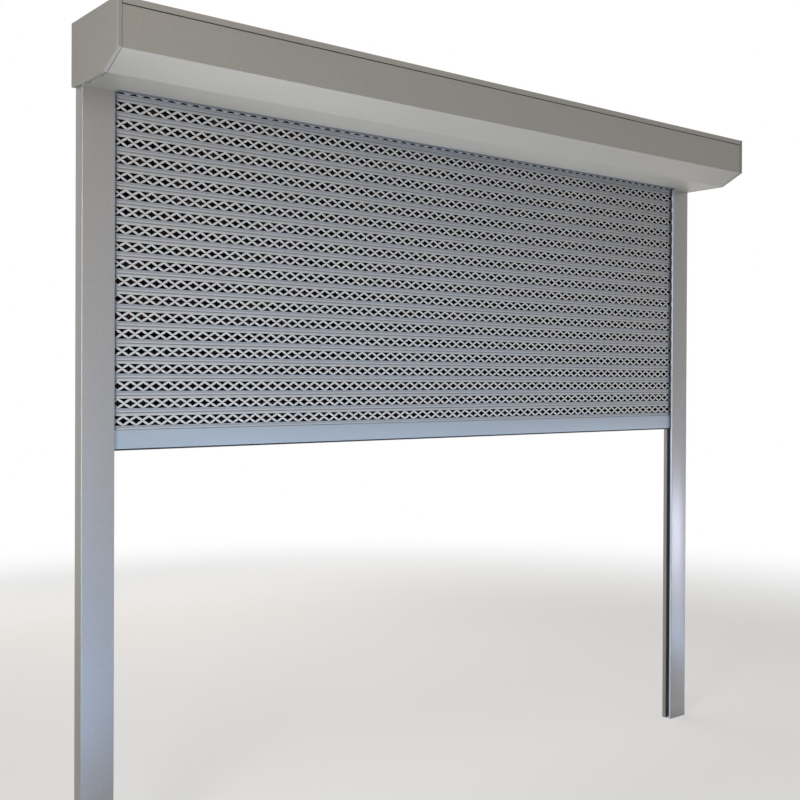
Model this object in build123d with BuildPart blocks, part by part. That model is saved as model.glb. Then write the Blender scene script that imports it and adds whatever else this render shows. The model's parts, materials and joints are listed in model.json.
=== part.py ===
from build123d import *
from math import acos, atan2, cos, degrees, hypot, pi, radians, sin, sqrt
import os

# Roller shutter door, half lowered, in millimetres.
# X runs along the door's width, -Y is the front, +Z is up.
# The origin is the middle of the doorway at floor level, in the wall plane behind the rails.

# Driving dimensions of the doorway and its housing
clear_width = 2780.0
soffit_height = 2490.0
box_height = 198.0
box_depth = 335.0
front_face_height = 148.0
chamfer_depth = 103.0
curtain_slot = 24.0
sheet = 1.5
lip_height = 20.0
seat_gap = 0.3

# Guide rails: a back half for the wall and a front half that snaps on
rail_width = 110.0
rail_depth = 47.0
rail_wall = 2.2
channel_rear = 18.0
channel_gap = 19.0
channel_length = 72.0
wall_hole_radius = 4.25
wall_holes = 5
wall_hole_margin = 150.0
brush_from_edge = 3.0
brush_width = 8.0
brush_neck = 5.0

# Curtain of hooked slats
slat_pitch = 55.0
slat_thickness = 8.5
slat_wall = 1.3
joint_gap = 0.4
joint_below = 29.0
edge_bevel = 0.9
hook_channel = 11.0
hook_mouth = 2.6
hook_neck = 1.4
hook_head = 4.8
hook_head_height = 3.4
slat_rows = 20
top_row_above_soffit = 14.0
slat_engagement = 55.0
pattern_height = 29.0
cell_pitch = 44.5
cells_per_window = 12
windows_per_slat = 5
crossing_width = 7.0
clip_thickness = 4.0
clip_peg = 18.0

# Bottom bar and its rubber seal
bar_height = 60.0
bar_wall = 1.6
seal_drop = 5.0
seal_width = 6.0
seal_neck = 2.6
seal_head = 5.0
seal_head_height = 2.0

# Winding tube, its drive and the curtain wound on it
tube_width = 60.0
tube_sides = 8
tube_wall = 1.0
tube_from_wall = 118.0
tube_above_middle = 1.0
wound_slats = 26
wound_gap = 0.4
first_layer_gap = 5.25
strap_width = 40.0
strap_thickness = 0.8
strap_count = 5
strap_foot = 22.0
strap_spread = 0.8
motor_radius = 22.5
motor_length = 540.0
motor_head_radius = 28.0
motor_head_length = 24.0
drive_square = 10.0
output_radius = 7.0
output_length = 30.0
crown_width = 16.0
plug_length = 60.0
pin_radius = 10.0
bearing_outer_radius = 23.5
bearing_width = 12.0
bearing_ring = 4.3
holder_wall = 6.0
holder_sides = 8
running_gap = 0.05
turning_gap = 0.3
end_gap = 3.0
drive_gap = 0.2

# End caps, which stand out past the rails on either side
cap_overhang = 15.0
cap_edge = 14.0
cap_plate = 4.0
cap_rim = 4.0
cap_bevel = 2.0
spigot_depth = 12.0
spigot_wall = 3.0
boss_size = 68.0
boss_height = 37.0
rib_width = 4.0
rib_height = 8.0
lug_length = 60.0
lug_gap = 2.0
bracket_size = 64.0
bracket_thickness = 5.0
bracket_corner = 8.0
screw_radius = 2.0
screw_head_radius = 4.0
screw_head_height = 1.6
screw_sides = 12
cap_screw_ys = (-95.0, -190.0)

# Openings in the rear cover
box_hole_spacing = 2400.0
box_hole_margin = 20.0
grommet_bore = 3.2
grommet_wall = 2.3
grommet_flange = 11.0
grommet_length = 6.0
grommet_from_end = 135.0
grommet_sides = 16
grommet_below_top = 38.0

# Inlet guides on the rails, and the closers that fill the box's floor in front of them
guide_height = 28.0
guide_wall = 2.0
guide_flare = 17.0
closer_thickness = 4.0
closer_gap = 2.0

# Places worked out from the dimensions above
half_clear = clear_width / 2
half_width = half_clear + rail_width
box_half = half_width + cap_overhang
rail_front = -rail_depth
box_top = soffit_height + box_height
box_front = -box_depth
chamfer_y = box_front + chamfer_depth
chamfer_z = box_top - front_face_height
slot_front = rail_front - curtain_slot
channel_front = channel_rear + channel_gap
curtain_y = -(channel_rear + channel_gap / 2)
curtain_half = half_clear + slat_engagement
slat_half = slat_thickness / 2
tube_y = -tube_from_wall
tube_z = (soffit_height + box_top) / 2 + tube_above_middle
lowest_row = soffit_height + top_row_above_soffit - slat_pitch * (slat_rows - 1)
front_inset = sheet + seat_gap
cut_reach = 4 * sheet
hem_height = lip_height / 2
cover_half = box_half - cap_edge
spigot_end = cover_half - spigot_depth
cap_screw_x = cover_half - spigot_depth / 2
boss_face = box_half - cap_plate - boss_height
plug_apothem = tube_width / 2 - tube_wall - turning_gap
box_outline = [
    (0, soffit_height),
    (chamfer_y, soffit_height),
    (box_front, chamfer_z),
    (box_front, box_top),
    (0, box_top),
]


os.makedirs("parts", exist_ok=True)


def finish(piece, name):
    """Names a finished piece and writes it."""
    piece.part.label = name
    export_step(piece.part, f"parts/{name}.step")


def outline(points, mode=Mode.ADD):
    """Closed outline through a list of corners, in the sketch being drawn."""
    Polygon(*points, align=None, mode=mode)


def build_end_cap(side, name):
    """Cast cap with a hollow back, a spigot for the covers and a lug that drops into the rail."""
    with BuildPart() as end_cap:
        with BuildSketch(Plane.YZ.offset(side * box_half)):
            outline(box_outline)
        extrude(amount=-side * cap_edge)
        chamfer(end_cap.faces().sort_by(Axis.X)[-1 if side > 0 else 0].edges(), cap_bevel)
        with BuildSketch(Plane.YZ.offset(side * cover_half)):
            outline(box_outline)
            offset(amount=-cap_rim, kind=Kind.INTERSECTION, mode=Mode.REPLACE)
        extrude(amount=side * (cap_edge - cap_plate), mode=Mode.SUBTRACT)
        # The spigot stays clear of the folded covers and is open over the curtain's slot.
        with BuildSketch(Plane.YZ.offset(side * spigot_end)):
            outline(box_outline)
            offset(amount=-2 * front_inset, kind=Kind.INTERSECTION, mode=Mode.REPLACE)
            offset(amount=-spigot_wall, kind=Kind.INTERSECTION, mode=Mode.SUBTRACT)
            with Locations((slot_front / 2 - front_inset, soffit_height + hem_height / 2)):
                Rectangle(-slot_front, hem_height + 2 * front_inset, mode=Mode.SUBTRACT)
        extrude(amount=side * (spigot_depth + cap_rim))
        with BuildSketch(Plane.YZ.offset(side * (box_half - cap_plate))):
            with Locations((box_front / 2, tube_z)):
                Rectangle(box_depth - cap_rim, rib_width)
            with Locations((tube_y, (soffit_height + box_top) / 2)):
                Rectangle(rib_width, box_height - cap_rim)
        extrude(amount=-side * rib_height)
        with BuildSketch(Plane.YZ.offset(side * (box_half - cap_plate))):
            with Locations((tube_y, tube_z)):
                Rectangle(boss_size, boss_size)
        extrude(amount=-side * boss_height)
        # A foot over the rail's end carries the lug, which drops into the rail's screw chamber,
        # clear of the snap legs of the rail's front half.
        lug_inner = half_clear + channel_length + 2 * (rail_wall + lug_gap)
        lug_outer = half_width - 2 * (rail_wall + lug_gap)
        lug_rear = rail_wall + lug_gap
        lug_front = channel_front - 2 * rail_wall - lug_gap
        foot_end = cover_half + cap_rim
        with BuildSketch(Plane.XY.offset(soffit_height)):
            with Locations((side * (lug_inner + foot_end) / 2, -(lug_rear + lug_front) / 2)):
                Rectangle(foot_end - lug_inner, lug_front - lug_rear)
        extrude(amount=cap_rim)
        with BuildSketch(Plane.XY.offset(soffit_height + cap_rim)):
            with Locations((side * (lug_inner + lug_outer) / 2, -(lug_rear + lug_front) / 2)):
                Rectangle(lug_outer - lug_inner, lug_front - lug_rear)
        extrude(amount=-(lug_length + cap_rim))
        with BuildSketch(Plane.XY.offset(soffit_height)):
            with Locations(*[(side * cap_screw_x, y) for y in cap_screw_ys]):
                RegularPolygon(screw_radius + running_gap, screw_sides)
        extrude(amount=2 * front_inset + spigot_wall, mode=Mode.SUBTRACT)
    finish(end_cap, name)


def build_sheet_cover(name, points, cuts=()):
    """Sheet folded along the given line, between the two end caps, with holes if asked."""
    with BuildPart() as cover:
        with BuildSketch(Plane.YZ.offset(-cover_half)):
            with BuildLine():
                Polyline(*points)
                offset(amount=sheet, side=Side.LEFT, kind=Kind.INTERSECTION)
            make_face()
        extrude(amount=2 * cover_half)
        for plane, places, radius, sides in cuts:
            with BuildSketch(plane):
                with Locations(*places):
                    if sides:
                        RegularPolygon(radius, sides)
                    else:
                        Circle(radius)
            extrude(amount=cut_reach, both=True, mode=Mode.SUBTRACT)
    finish(cover, name)


def build_rail(side, name):
    """Back half of a guide rail: hollow rear wall, partition and screw chamber."""

    def at(u):
        return side * (half_clear + u)

    with BuildPart() as rail:
        with BuildSketch(Plane.XY):
            outline([
                (at(0), 0),
                (at(rail_width), 0),
                (at(rail_width), -channel_front),
                (at(rail_width - rail_wall), -channel_front),
                (at(rail_width - rail_wall), -rail_wall),
                (at(channel_length + rail_wall), -rail_wall),
                (at(channel_length + rail_wall), rail_front + rail_wall + seat_gap),
                (at(channel_length), rail_front + rail_wall + seat_gap),
                (at(channel_length), -channel_rear),
                (at(0), -channel_rear),
            ])
            with Locations((at((rail_wall + channel_length) / 2), -channel_rear / 2)):
                Rectangle(channel_length - rail_wall, channel_rear - 2 * rail_wall, mode=Mode.SUBTRACT)
            with Locations((at(brush_from_edge + brush_width / 2), rail_wall / 2 - channel_rear)):
                Rectangle(brush_neck, rail_wall, mode=Mode.SUBTRACT)
        extrude(amount=soffit_height)
        hole_u = (channel_length + rail_width) / 2
        step = (soffit_height - 2 * wall_hole_margin) / (wall_holes - 1)
        with BuildSketch(Plane.XZ):
            with Locations(*[(at(hole_u), wall_hole_margin + step * k) for k in range(wall_holes)]):
                Circle(wall_hole_radius)
        extrude(amount=rail_wall, mode=Mode.SUBTRACT)
    finish(rail, name)


def build_rail_cover(side, name):
    """Front half of a guide rail: plain front plate, hollow inner lip and two snap legs."""
    back_of_plate = rail_front + rail_wall

    def box(u_from, u_to, v_from, v_to, mode=Mode.ADD):
        with Locations((side * (half_clear + (u_from + u_to) / 2), (v_from + v_to) / 2)):
            Rectangle(u_to - u_from, abs(v_to - v_from), mode=mode)

    leg_outer = rail_width - rail_wall - seat_gap
    leg_inner = channel_length + rail_wall + seat_gap
    lip_front = -channel_front - rail_wall
    neck_from = brush_from_edge + (brush_width - brush_neck) / 2
    with BuildPart() as rail_cover:
        with BuildSketch(Plane.XY):
            box(0, rail_width, rail_front, back_of_plate)
            box(0, channel_length - seat_gap, back_of_plate, -channel_front)
            box(rail_wall, channel_length - rail_wall, back_of_plate, lip_front, Mode.SUBTRACT)
            box(neck_from, neck_from + brush_neck, -channel_front, lip_front, Mode.SUBTRACT)
            box(rail_width - rail_wall, rail_width, back_of_plate, -channel_front - seat_gap)
            box(leg_outer - rail_wall, leg_outer, back_of_plate, -channel_front + 2 * rail_wall)
            box(leg_inner, leg_inner + rail_wall, back_of_plate, -channel_front + rail_wall)
        extrude(amount=soffit_height)
    finish(rail_cover, name)


def build_brush_seals(side, name):
    """Two brush strips that slide into the grooves on either side of the channel."""
    reach = (channel_gap - slat_thickness) / 2 - joint_gap
    middle = side * (half_clear + brush_from_edge + brush_width / 2)
    neck = brush_neck / 2 - running_gap
    with BuildPart() as brush_seals:
        for wall_y, into in ((-channel_rear, -1), (-channel_front, 1)):
            back = wall_y - into * (rail_wall + running_gap)
            heel = back - into * rail_wall / 2
            with BuildSketch(Plane.XY):
                outline([
                    (middle - brush_width / 2, heel),
                    (middle + brush_width / 2, heel),
                    (middle + brush_width / 2, back),
                    (middle + neck, back),
                    (middle + neck, wall_y + into * reach),
                    (middle - neck, wall_y + into * reach),
                    (middle - neck, back),
                    (middle - brush_width / 2, back),
                ])
            extrude(amount=soffit_height)
    finish(brush_seals, name)


def build_inlet_guide(side, name):
    """Flared plastic funnel on top of a rail that leads the slats into the channel."""

    def flared(half_gap):
        return [
            (curtain_y + half_gap, soffit_height),
            (curtain_y + half_gap, soffit_height + guide_height),
            (curtain_y - half_gap - guide_flare, soffit_height + guide_height),
            (curtain_y - half_gap, soffit_height),
        ]

    back = half_clear + channel_length + 2 * guide_wall
    with BuildPart() as inlet_guide:
        with BuildSketch(Plane.YZ.offset(side * (half_clear + seat_gap))):
            outline(flared(channel_gap / 2 + 2 * guide_wall))
        extrude(amount=side * (back - half_clear - seat_gap))
        with BuildSketch(Plane.YZ.offset(side * half_clear)):
            outline(flared(channel_gap / 2))
        extrude(amount=side * channel_length, mode=Mode.SUBTRACT)
    finish(inlet_guide, name)


def build_slot_closer(side, name):
    """Plate on the rail's front, level with the soffit, that closes the box beside the slot."""
    rise = guide_flare * closer_thickness / guide_height
    rear = -(channel_front + 2 * guide_wall + rise + closer_gap)
    front = slot_front + seat_gap
    with BuildPart() as slot_closer:
        with BuildSketch(Plane.XY.offset(soffit_height)):
            with Locations((side * (half_clear + cover_half) / 2, (front + rear) / 2)):
                Rectangle(cover_half - half_clear, rear - front)
        extrude(amount=closer_thickness)
    finish(slot_closer, name)


def hook_head_points(top):
    """The neck and flat head on top of a slat, which hangs in the channel of the slat above."""
    seat = top + joint_gap + slat_wall + running_gap
    neck = hook_neck / 2
    head = hook_head / 2
    return [
        (-neck, top),
        (-neck, seat),
        (-head, seat),
        (-neck, seat + hook_head_height),
        (neck, seat + hook_head_height),
        (head, seat),
        (neck, seat),
        (neck, top),
    ]


def slat_points():
    """Section of one slat round its row's centre: (depth, height)."""
    bottom = joint_gap / 2 - joint_below
    top = slat_pitch - joint_below - joint_gap / 2
    inner = slat_half - slat_wall
    mouth = hook_mouth / 2
    channel_top = bottom + hook_channel
    flange_end = top - hook_channel + 2 * slat_wall
    return [
        (-slat_half, bottom + edge_bevel),
        (-slat_half, top - edge_bevel),
        (edge_bevel - slat_half, top),
        *hook_head_points(top),
        (slat_half, top),
        (slat_half, flange_end),
        (inner, flange_end),
        (inner, top - slat_wall),
        (-inner, top - slat_wall),
        (-inner, channel_top + slat_wall),
        (slat_half, channel_top + slat_wall),
        (slat_half, bottom),
        (mouth, bottom),
        (mouth, bottom + slat_wall),
        (inner, bottom + slat_wall),
        (inner, channel_top),
        (-inner, channel_top),
        (-inner, bottom + slat_wall),
        (-mouth, bottom + slat_wall),
        (-mouth, bottom),
        (edge_bevel - slat_half, bottom),
    ]


def window_points():
    """Long opening with pointed ends: two of them leave a crossed bridge between their points."""
    rise = pattern_height / 2
    tip = cells_per_window * cell_pitch / 2 - crossing_width / 2
    shoulder = tip - cell_pitch / 2
    return [(-tip, 0), (-shoulder, rise), (shoulder, rise), (tip, 0), (shoulder, -rise), (-shoulder, -rise)]


def build_slat(number):
    """One hooked slat of the hanging curtain, number 1 at the bottom."""
    row = lowest_row + slat_pitch * (number - 1)
    with BuildPart() as slat:
        with BuildSketch(Plane.YZ.offset(-curtain_half)):
            outline([(curtain_y + depth, row + height) for depth, height in slat_points()])
        extrude(amount=2 * curtain_half)
        with BuildSketch(Plane.XZ.offset(-curtain_y)):
            with Locations((0, row)):
                with GridLocations(cells_per_window * cell_pitch, 1, windows_per_slat, 1):
                    outline(window_points())
        extrude(amount=slat_thickness, both=True, mode=Mode.SUBTRACT)
    finish(slat, f"slat_{number:02d}")


def build_slat_clips(side, name):
    """End clips on every second slat, which keep the slats from sliding along each other."""
    width = slat_thickness - 2 * seat_gap
    height = slat_pitch - 2 * edge_bevel
    top = slat_pitch - joint_below - joint_gap / 2
    peg_width = slat_thickness - 2 * slat_wall - 2 * seat_gap
    peg_height = hook_channel - 4 * slat_wall
    with BuildPart() as slat_clips:
        for row in range(0, slat_rows, 2):
            middle = lowest_row + slat_pitch * row
            with BuildSketch(Plane.YZ.offset(side * curtain_half)):
                with Locations((curtain_y, middle + slat_pitch / 2 - joint_below)):
                    Rectangle(width, height)
            extrude(amount=side * clip_thickness)
            with BuildSketch(Plane.YZ.offset(side * curtain_half)):
                with Locations((curtain_y, middle + top - slat_wall - seat_gap - peg_height / 2)):
                    Rectangle(peg_width, peg_height)
            extrude(amount=-side * clip_peg)
    finish(slat_clips, name)


build_end_cap(-1, "left_end_cap")
build_end_cap(1, "right_end_cap")

# The top cover runs from a short rear lip to a front lip that laps over the front cover.
build_sheet_cover(
    "top_cover",
    [
        (0, box_top - lip_height),
        (0, box_top),
        (box_front, box_top),
        (box_front, box_top - lip_height),
    ],
)

# The front cover is folded from the front face over the chamfer to the soffit and its hem.
build_sheet_cover(
    "front_cover",
    [
        (box_front + front_inset, box_top - front_inset),
        (box_front + front_inset, chamfer_z),
        (chamfer_y, soffit_height),
        (slot_front, soffit_height),
        (slot_front, soffit_height + hem_height),
    ],
    cuts=[
        (
            Plane.XY.offset(soffit_height),
            [(side * cap_screw_x, y) for side in (-1, 1) for y in cap_screw_ys],
            screw_radius + running_gap,
            screw_sides,
        )
    ],
)

rear_bottom = soffit_height + box_hole_margin / 2
grommet_x = cover_half - grommet_from_end
grommet_z = box_top - grommet_below_top
build_sheet_cover(
    "rear_cover",
    [
        (-front_inset, rear_bottom),
        (-front_inset, box_top - front_inset),
    ],
    cuts=[
        (
            Plane.XZ,
            [
                (side * box_hole_spacing / 2, z)
                for side in (-1, 1)
                for z in (rear_bottom + box_hole_margin, box_top - front_inset - box_hole_margin)
            ],
            wall_hole_radius,
            0,
        ),
        (Plane.XZ, [(grommet_x, grommet_z)], grommet_bore + grommet_wall + seat_gap, grommet_sides),
    ],
)

for rail_side, rail_name in ((-1, "left"), (1, "right")):
    build_rail(rail_side, f"{rail_name}_rail")
    build_rail_cover(rail_side, f"{rail_name}_rail_cover")
    build_brush_seals(rail_side, f"{rail_name}_brush_seals")
    build_inlet_guide(rail_side, f"{rail_name}_inlet_guide")
    build_slot_closer(rail_side, f"{rail_name}_slot_closer")
    build_slat_clips(rail_side, f"{rail_name}_slat_clips")

for slat_number in range(1, slat_rows + 1):
    build_slat(slat_number)

# Bottom bar: a hollow section with the same hook on top and a groove for the seal
bar_top = lowest_row - joint_below - joint_gap / 2
bar_bottom = bar_top - bar_height + joint_gap / 2
groove_top = bar_bottom + bar_wall + seal_head_height + 2 * running_gap
with BuildPart() as bottom_bar:
    with BuildSketch(Plane.YZ.offset(-curtain_half)):
        outline([
            (curtain_y - slat_half, bar_bottom),
            (curtain_y - slat_half, bar_top - edge_bevel),
            (curtain_y + edge_bevel - slat_half, bar_top),
            *[(curtain_y + depth, height) for depth, height in hook_head_points(bar_top)],
            (curtain_y + slat_half, bar_top),
            (curtain_y + slat_half, bar_bottom),
        ])
        hollow_bottom = groove_top + bar_wall
        hollow_height = bar_top - bar_wall - hollow_bottom
        with Locations((curtain_y, hollow_bottom + hollow_height / 2)):
            Rectangle(slat_thickness - 2 * bar_wall, hollow_height, mode=Mode.SUBTRACT)
        with Locations((curtain_y, (bar_bottom + bar_wall + groove_top) / 2)):
            Rectangle(seal_head + 2 * running_gap, groove_top - bar_bottom - bar_wall, mode=Mode.SUBTRACT)
        with Locations((curtain_y, bar_bottom + bar_wall / 2)):
            Rectangle(seal_neck + 2 * running_gap, bar_wall, mode=Mode.SUBTRACT)
    extrude(amount=2 * curtain_half)
finish(bottom_bar, "bottom_bar")

# Rubber seal: a head in the groove, a neck and a blunt lip that meets the floor
seal_bottom = bar_bottom - seal_drop
head_bottom = bar_bottom + bar_wall + running_gap
with BuildPart() as bottom_seal:
    with BuildSketch(Plane.YZ.offset(-curtain_half)):
        outline([
            (curtain_y + across, height)
            for across, height in (
                (-seal_head / 2, head_bottom + seal_head_height),
                (seal_head / 2, head_bottom + seal_head_height),
                (seal_head / 2, head_bottom),
                (seal_neck / 2, head_bottom),
                (seal_neck / 2, bar_bottom),
                (seal_width / 2, bar_bottom),
                (seal_width / 2, seal_bottom + seal_drop / 2),
                (seal_width / 4, seal_bottom),
                (-seal_width / 4, seal_bottom),
                (-seal_width / 2, seal_bottom + seal_drop / 2),
                (-seal_width / 2, bar_bottom),
                (-seal_neck / 2, bar_bottom),
                (-seal_neck / 2, head_bottom),
                (-seal_head / 2, head_bottom),
            )
        ])
    extrude(amount=2 * curtain_half)
finish(bottom_seal, "bottom_seal")

with BuildPart() as bar_plugs:
    for plug_side in (-1, 1):
        with BuildSketch(Plane.YZ.offset(plug_side * curtain_half)):
            with Locations((curtain_y, (bar_top + bar_bottom) / 2)):
                Rectangle(slat_thickness, bar_top - bar_bottom)
        extrude(amount=plug_side * clip_thickness)
        with BuildSketch(Plane.YZ.offset(plug_side * curtain_half)):
            with Locations((curtain_y, hollow_bottom + hollow_height / 2)):
                Rectangle(slat_thickness - 2 * bar_wall - 2 * seat_gap, hollow_height - 2 * seat_gap)
        extrude(amount=-plug_side * clip_peg)
finish(bar_plugs, "bar_plugs")

# The wound part of the curtain: slats follow a spiral whose outer end faces the wall.
layer = slat_thickness + wound_gap
wound_half = slat_half - wound_gap
growth = layer / (2 * pi)
first_radius = tube_width / 2 + first_layer_gap + slat_half
wound_length = slat_pitch * wound_slats
wound_turn = (sqrt(first_radius**2 + 2 * growth * wound_length) - first_radius) / growth
last_radius = first_radius + growth * wound_turn
hang_top = lowest_row + slat_pitch * slat_rows - joint_below
to_hang_y = curtain_y - tube_y
to_hang_z = hang_top - tube_z
to_hang = hypot(to_hang_y, to_hang_z)
opening = acos((to_hang**2 + last_radius**2 - slat_pitch**2) / (2 * to_hang * last_radius))
last_angle = atan2(to_hang_z, to_hang_y) + opening
first_angle = last_angle + wound_turn


def on_spiral(turned, outward):
    """A point of the spiral: turned from its inner end, and outward from its middle line."""
    radius = first_radius + growth * turned + outward
    angle = first_angle - turned
    return (tube_y + radius * cos(angle), tube_z + radius * sin(angle))


def turned_at(length):
    """How far the spiral has turned after the given length of curtain."""
    return (sqrt(first_radius**2 + 2 * growth * length) - first_radius) / growth


with BuildPart() as wound_curtain:
    for wound_number in range(wound_slats):
        start = slat_pitch * wound_number + joint_gap
        turns = [turned_at(start + share * (slat_pitch - 2 * joint_gap)) for share in (0, 1 / 3, 2 / 3, 1)]
        with BuildSketch(Plane.YZ.offset(-curtain_half)):
            outline(
                [on_spiral(turned, wound_half) for turned in turns]
                + [on_spiral(turned, -wound_half) for turned in reversed(turns)]
            )
        extrude(amount=2 * curtain_half)
finish(wound_curtain, "wound_slats")

# The stretch that pays out between the roll and the hanging curtain is one slat long at rest.
loose_end = Vector(*on_spiral(wound_turn, 0))
hang_end = Vector(curtain_y, hang_top)
along = (loose_end - hang_end).normalized()
across = Vector(-along.Y, along.X) * wound_half
hook_room = hook_head_height + 4 * slat_wall
with BuildPart() as unwinding_slats:
    with BuildSketch(Plane.YZ.offset(-curtain_half)):
        low_end = hang_end + along * hook_room
        high_end = loose_end - along * hook_room / 2
        outline([low_end - across, low_end + across, high_end + across, high_end - across])
    extrude(amount=2 * curtain_half)
finish(unwinding_slats, "unwinding_slats")

# Octagonal tube, turned so that one flat carries the straps under the innermost slat
bearing_back = boss_face - bearing_width - holder_wall / 2
tube_start = -(bearing_back - end_gap)
head_end = boss_face - bracket_thickness - drive_square
tube_end = head_end - motor_head_length - end_gap
strap_angle = atan2(strap_foot / 2, tube_width / 2)
flat_turn = degrees(first_angle - strap_angle)


def on_axis(x):
    """Plane square to the tube's axis, centred on it."""
    return Plane(origin=(x, tube_y, tube_z), x_dir=(0, 1, 0), z_dir=(1, 0, 0))


def octagon(apothem, mode=Mode.ADD):
    """The tube's outline, with its flats at the given distance, in the sketch being drawn."""
    turn = flat_turn + 180 / tube_sides
    RegularPolygon(apothem, tube_sides, major_radius=False, rotation=turn, mode=mode)


def bracket_plate():
    """Square plate with its corners cut off, in the sketch being drawn."""
    chamfer(Rectangle(bracket_size, bracket_size).vertices(), bracket_corner)


def disc(radius, bore=0.0):
    """Disc with an optional bore, in the sketch being drawn."""
    Circle(radius)
    if bore:
        Circle(bore, mode=Mode.SUBTRACT)


with BuildPart() as winding_tube:
    with BuildSketch(on_axis(tube_start)):
        octagon(tube_width / 2)
        octagon(tube_width / 2 - tube_wall, Mode.SUBTRACT)
    extrude(amount=tube_end - tube_start)
finish(winding_tube, "winding_tube")

# Spring-steel straps hold the innermost slat to the tube.
with BuildPart() as hanger_straps:
    for strap_number in range(strap_count):
        strap_x = strap_spread * curtain_half * (2 * strap_number / (strap_count - 1) - 1)
        strap_plane = Plane(
            origin=(strap_x, tube_y, tube_z),
            x_dir=(0, cos(radians(flat_turn)), sin(radians(flat_turn))),
            z_dir=(1, 0, 0),
        )
        foot = tube_width / 2
        half_foot = strap_foot / 2
        with BuildSketch(strap_plane):
            outline([
                (foot, -half_foot),
                (foot, half_foot),
                (foot + first_layer_gap - 2 * strap_thickness, half_foot),
                (foot + first_layer_gap - 2 * strap_thickness, half_foot - strap_thickness),
                (foot + strap_thickness, half_foot - strap_thickness),
                (foot + strap_thickness, -half_foot),
            ])
        extrude(amount=strap_width / 2, both=True)
finish(hanger_straps, "hanger_straps")

# Drive end: the motor lies in the tube, held by its square on the right cap's bracket.
head_start = head_end - motor_head_length
motor_start = head_start - motor_length
with BuildPart() as motor_body:
    with BuildSketch(on_axis(motor_start)):
        disc(motor_radius)
    extrude(amount=motor_length)
    with BuildSketch(on_axis(motor_start - output_length)):
        disc(output_radius)
    extrude(amount=output_length)
finish(motor_body, "motor_body")

with BuildPart() as motor_head:
    with BuildSketch(on_axis(head_start)):
        disc(motor_head_radius)
    extrude(amount=motor_head_length)
    with BuildSketch(on_axis(head_end)):
        Rectangle(drive_square, drive_square)
    extrude(amount=drive_square + bracket_thickness - turning_gap)
finish(motor_head, "motor_head")

with BuildPart() as motor_bracket:
    with BuildSketch(on_axis(boss_face - bracket_thickness)):
        bracket_plate()
        Rectangle(drive_square + drive_gap, drive_square + drive_gap, mode=Mode.SUBTRACT)
    extrude(amount=bracket_thickness)
finish(motor_bracket, "motor_bracket")


def build_octagon_plug(name, start, length, bore=0.0, pin_length=0.0):
    """Plug that fills the tube's octagon, with a bore for a shaft or a pin on its outer end."""
    with BuildPart() as octagon_plug:
        with BuildSketch(on_axis(start)):
            octagon(plug_apothem)
            if bore:
                Circle(bore, mode=Mode.SUBTRACT)
        extrude(amount=length)
        if pin_length:
            with BuildSketch(on_axis(start)):
                Circle(pin_radius)
            extrude(amount=-pin_length)
    finish(octagon_plug, name)


crown_start = tube_end - crown_width - turning_gap
build_octagon_plug("limit_crown", crown_start, crown_width, bore=motor_radius + turning_gap)
wheel_start = motor_start - output_length
wheel_bore = output_radius + turning_gap
build_octagon_plug("drive_wheel", wheel_start, output_length - end_gap, bore=wheel_bore)

# Idler end: a plug with a pin that turns in a ball bearing on the left cap
pin_reach = boss_face + tube_start - end_gap
build_octagon_plug("idler_plug", tube_start, plug_length, pin_length=pin_reach)

bearing_start = -(boss_face - holder_wall / 2)
inner_ring_radius = pin_radius + bearing_ring
with BuildPart() as bearing_inner_ring:
    with BuildSketch(on_axis(bearing_start)):
        disc(inner_ring_radius, pin_radius + running_gap)
    extrude(amount=bearing_width)
finish(bearing_inner_ring, "bearing_inner_ring")

with BuildPart() as bearing_outer_ring:
    with BuildSketch(on_axis(bearing_start)):
        disc(bearing_outer_radius, inner_ring_radius + turning_gap)
    extrude(amount=bearing_width)
finish(bearing_outer_ring, "bearing_outer_ring")

with BuildPart() as bearing_holder:
    with BuildSketch(on_axis(-boss_face)):
        bracket_plate()
        holder_lip = bearing_outer_radius - holder_wall
        RegularPolygon(holder_lip, holder_sides, major_radius=False, mode=Mode.SUBTRACT)
    extrude(amount=holder_wall / 2)
    with BuildSketch(on_axis(bearing_start)):
        RegularPolygon(bearing_outer_radius + holder_wall, holder_sides, major_radius=False)
        Circle(bearing_outer_radius + running_gap, mode=Mode.SUBTRACT)
    extrude(amount=bearing_width)
finish(bearing_holder, "bearing_holder")

# Pan-head screws under the soffit hold the front cover to the spigots of the caps.
with BuildPart() as cap_screws:
    for screw_side in (-1, 1):
        for screw_y in cap_screw_ys:
            screw_x = screw_side * cap_screw_x
            with BuildSketch(Plane.XY.offset(soffit_height)):
                with Locations((screw_x, screw_y)):
                    RegularPolygon(screw_head_radius, screw_sides)
            extrude(amount=-screw_head_height)
            with BuildSketch(Plane.XY.offset(soffit_height)):
                with Locations((screw_x, screw_y)):
                    RegularPolygon(screw_radius, screw_sides)
            extrude(amount=front_inset + spigot_wall)
finish(cap_screws, "cap_screws")

# Rubber grommet for the motor's cable, pressed into the rear cover
with BuildPart() as cable_grommet:
    with BuildSketch(Plane.XZ.offset(seat_gap)):
        with Locations((grommet_x, grommet_z)):
            RegularPolygon(grommet_bore + grommet_wall, grommet_sides)
            Circle(grommet_bore, mode=Mode.SUBTRACT)
    extrude(amount=grommet_length)
    with BuildSketch(Plane.XZ.offset(front_inset + sheet)):
        with Locations((grommet_x, grommet_z)):
            RegularPolygon(grommet_flange, grommet_sides)
            Circle(grommet_bore, mode=Mode.SUBTRACT)
    extrude(amount=grommet_length + seat_gap - front_inset - sheet)
finish(cable_grommet, "cable_grommet")

print(f"The roll has turned {wound_turn:.2f} rad and its middle line ends at {last_radius:.2f} mm.")
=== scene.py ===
import json
import math
import random

import bmesh
import bpy
from mathutils import Euler, Matrix, Vector


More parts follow.
